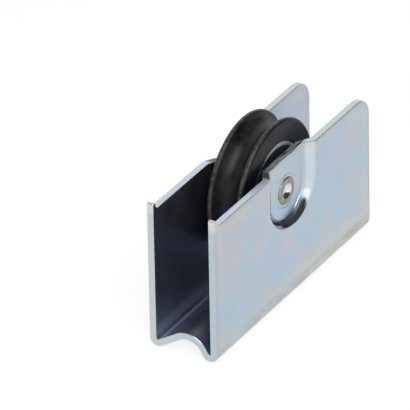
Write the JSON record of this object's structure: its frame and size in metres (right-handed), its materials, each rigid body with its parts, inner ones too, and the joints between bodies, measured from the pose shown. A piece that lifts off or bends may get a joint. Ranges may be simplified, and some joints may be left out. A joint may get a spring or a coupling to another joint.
{
  "type": "gate wheel",
  "caption": "Grooved black plastic wheel on a sealed ball bearing, riveted between the flanges of an open-topped pressed steel U housing.",
  "frame": {"origin": "middle of the housing's length and width, on the plane that the housing's two lower bends stand on", "axes": "+X along the housing, from the end with the small upstands towards the end with the rounded corners; Y along the axle; +Z out of the open top, where the wheel stands out"},
  "size_m": [0.078, 0.02, 0.0488],
  "materials": {
    "zinc_plate": "bright zinc plate with clear blue passivation, satin",
    "black_nylon": "moulded, satin",
    "axle_steel": "turned, ends riveted over",
    "bearing_steel": "ground",
    "seal_rubber": "moulded"
  },
  "bodies": {
    "carrier": {"housing": "zinc_plate", "axle": "axle_steel", "bearing_inner_race": "bearing_steel", "spacer_washer_left": "zinc_plate", "spacer_washer_right": "zinc_plate"},
    "roller": {"wheel": "black_nylon", "bearing_outer_race": "bearing_steel", "bearing_seal_left": "seal_rubber", "bearing_seal_right": "seal_rubber"},
    "ball_cage": {"bearing_cage_left": "bearing_steel", "bearing_cage_right": "bearing_steel", "bearing_ball_1": "bearing_steel", "bearing_ball_2": "bearing_steel", "bearing_ball_3": "bearing_steel", "bearing_ball_4": "bearing_steel", "bearing_ball_5": "bearing_steel", "bearing_ball_6": "bearing_steel", "bearing_ball_7": "bearing_steel", "bearing_ball_8": "bearing_steel", "cage_rivet_1": "bearing_steel", "cage_rivet_2": "bearing_steel", "cage_rivet_3": "bearing_steel", "cage_rivet_4": "bearing_steel", "cage_rivet_5": "bearing_steel", "cage_rivet_6": "bearing_steel", "cage_rivet_7": "bearing_steel", "cage_rivet_8": "bearing_steel"}
  },
  "joints": [
    {"name": "wheel_spin", "type": "hinge", "parent": "carrier", "child": "roller", "pos_m": [0, 0, 0.03035], "axis": [0, 1, 0], "continuous": true},
    {"name": "cage_spin", "type": "hinge", "parent": "carrier", "child": "ball_cage", "pos_m": [0, 0, 0.03035], "axis": [0, 1, 0], "continuous": true}
  ],
  "couplings": [
    {"joint": "cage_spin", "follows": "wheel_spin", "ratio": 0.61364}
  ]
}
